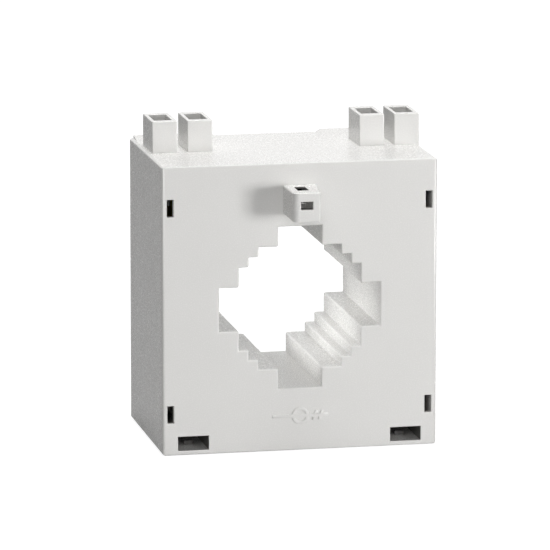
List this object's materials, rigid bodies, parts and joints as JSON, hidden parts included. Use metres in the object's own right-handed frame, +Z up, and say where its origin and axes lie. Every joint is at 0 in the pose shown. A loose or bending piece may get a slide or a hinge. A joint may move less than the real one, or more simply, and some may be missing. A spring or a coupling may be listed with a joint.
{
  "type": "current transformer",
  "caption": "Moulded window-type current transformer: box case, stepped busbar window, shrouded blade terminals on top.",
  "frame": {"origin": "centre of the case bottom face, the face that the transformer stands on", "axes": "+Z up through the terminal towers, -Y out of the front face, the window runs along Y, +X to the right seen from the front"},
  "size_m": [0.07, 0.056, 0.081],
  "materials": {
    "case": "light grey moulded plastic, satin gloss",
    "carrier": "dark grey glass-filled plastic",
    "tinned_brass": "tin plated brass strip",
    "copper": "enamelled copper wire",
    "core_steel": "strip-wound electrical steel",
    "core_cup": "natural moulded plastic",
    "tape": "yellow film tape",
    "foam": "black closed-cell foam",
    "wire_sleeve": "green woven sleeving",
    "shrink_sleeve": "red shrink sleeve"
  },
  "bodies": {
    "root": {"front_housing": "case", "rear_cover": "case", "ring_core": "core_steel", "core_cup_front": "core_cup", "core_cup_rear": "core_cup", "secondary_winding": "copper", "winding_tape": "tape", "foam_ring_front": "foam", "foam_ring_rear": "foam", "terminal_carrier_left": "carrier", "terminal_carrier_right": "carrier", "double_blade_left": "tinned_brass", "double_blade_right": "tinned_brass", "wire_sleeve_left": "wire_sleeve", "wire_sleeve_right": "wire_sleeve", "crimp_sleeve_left": "shrink_sleeve", "crimp_sleeve_right": "shrink_sleeve"}
  },
  "joints": []
}
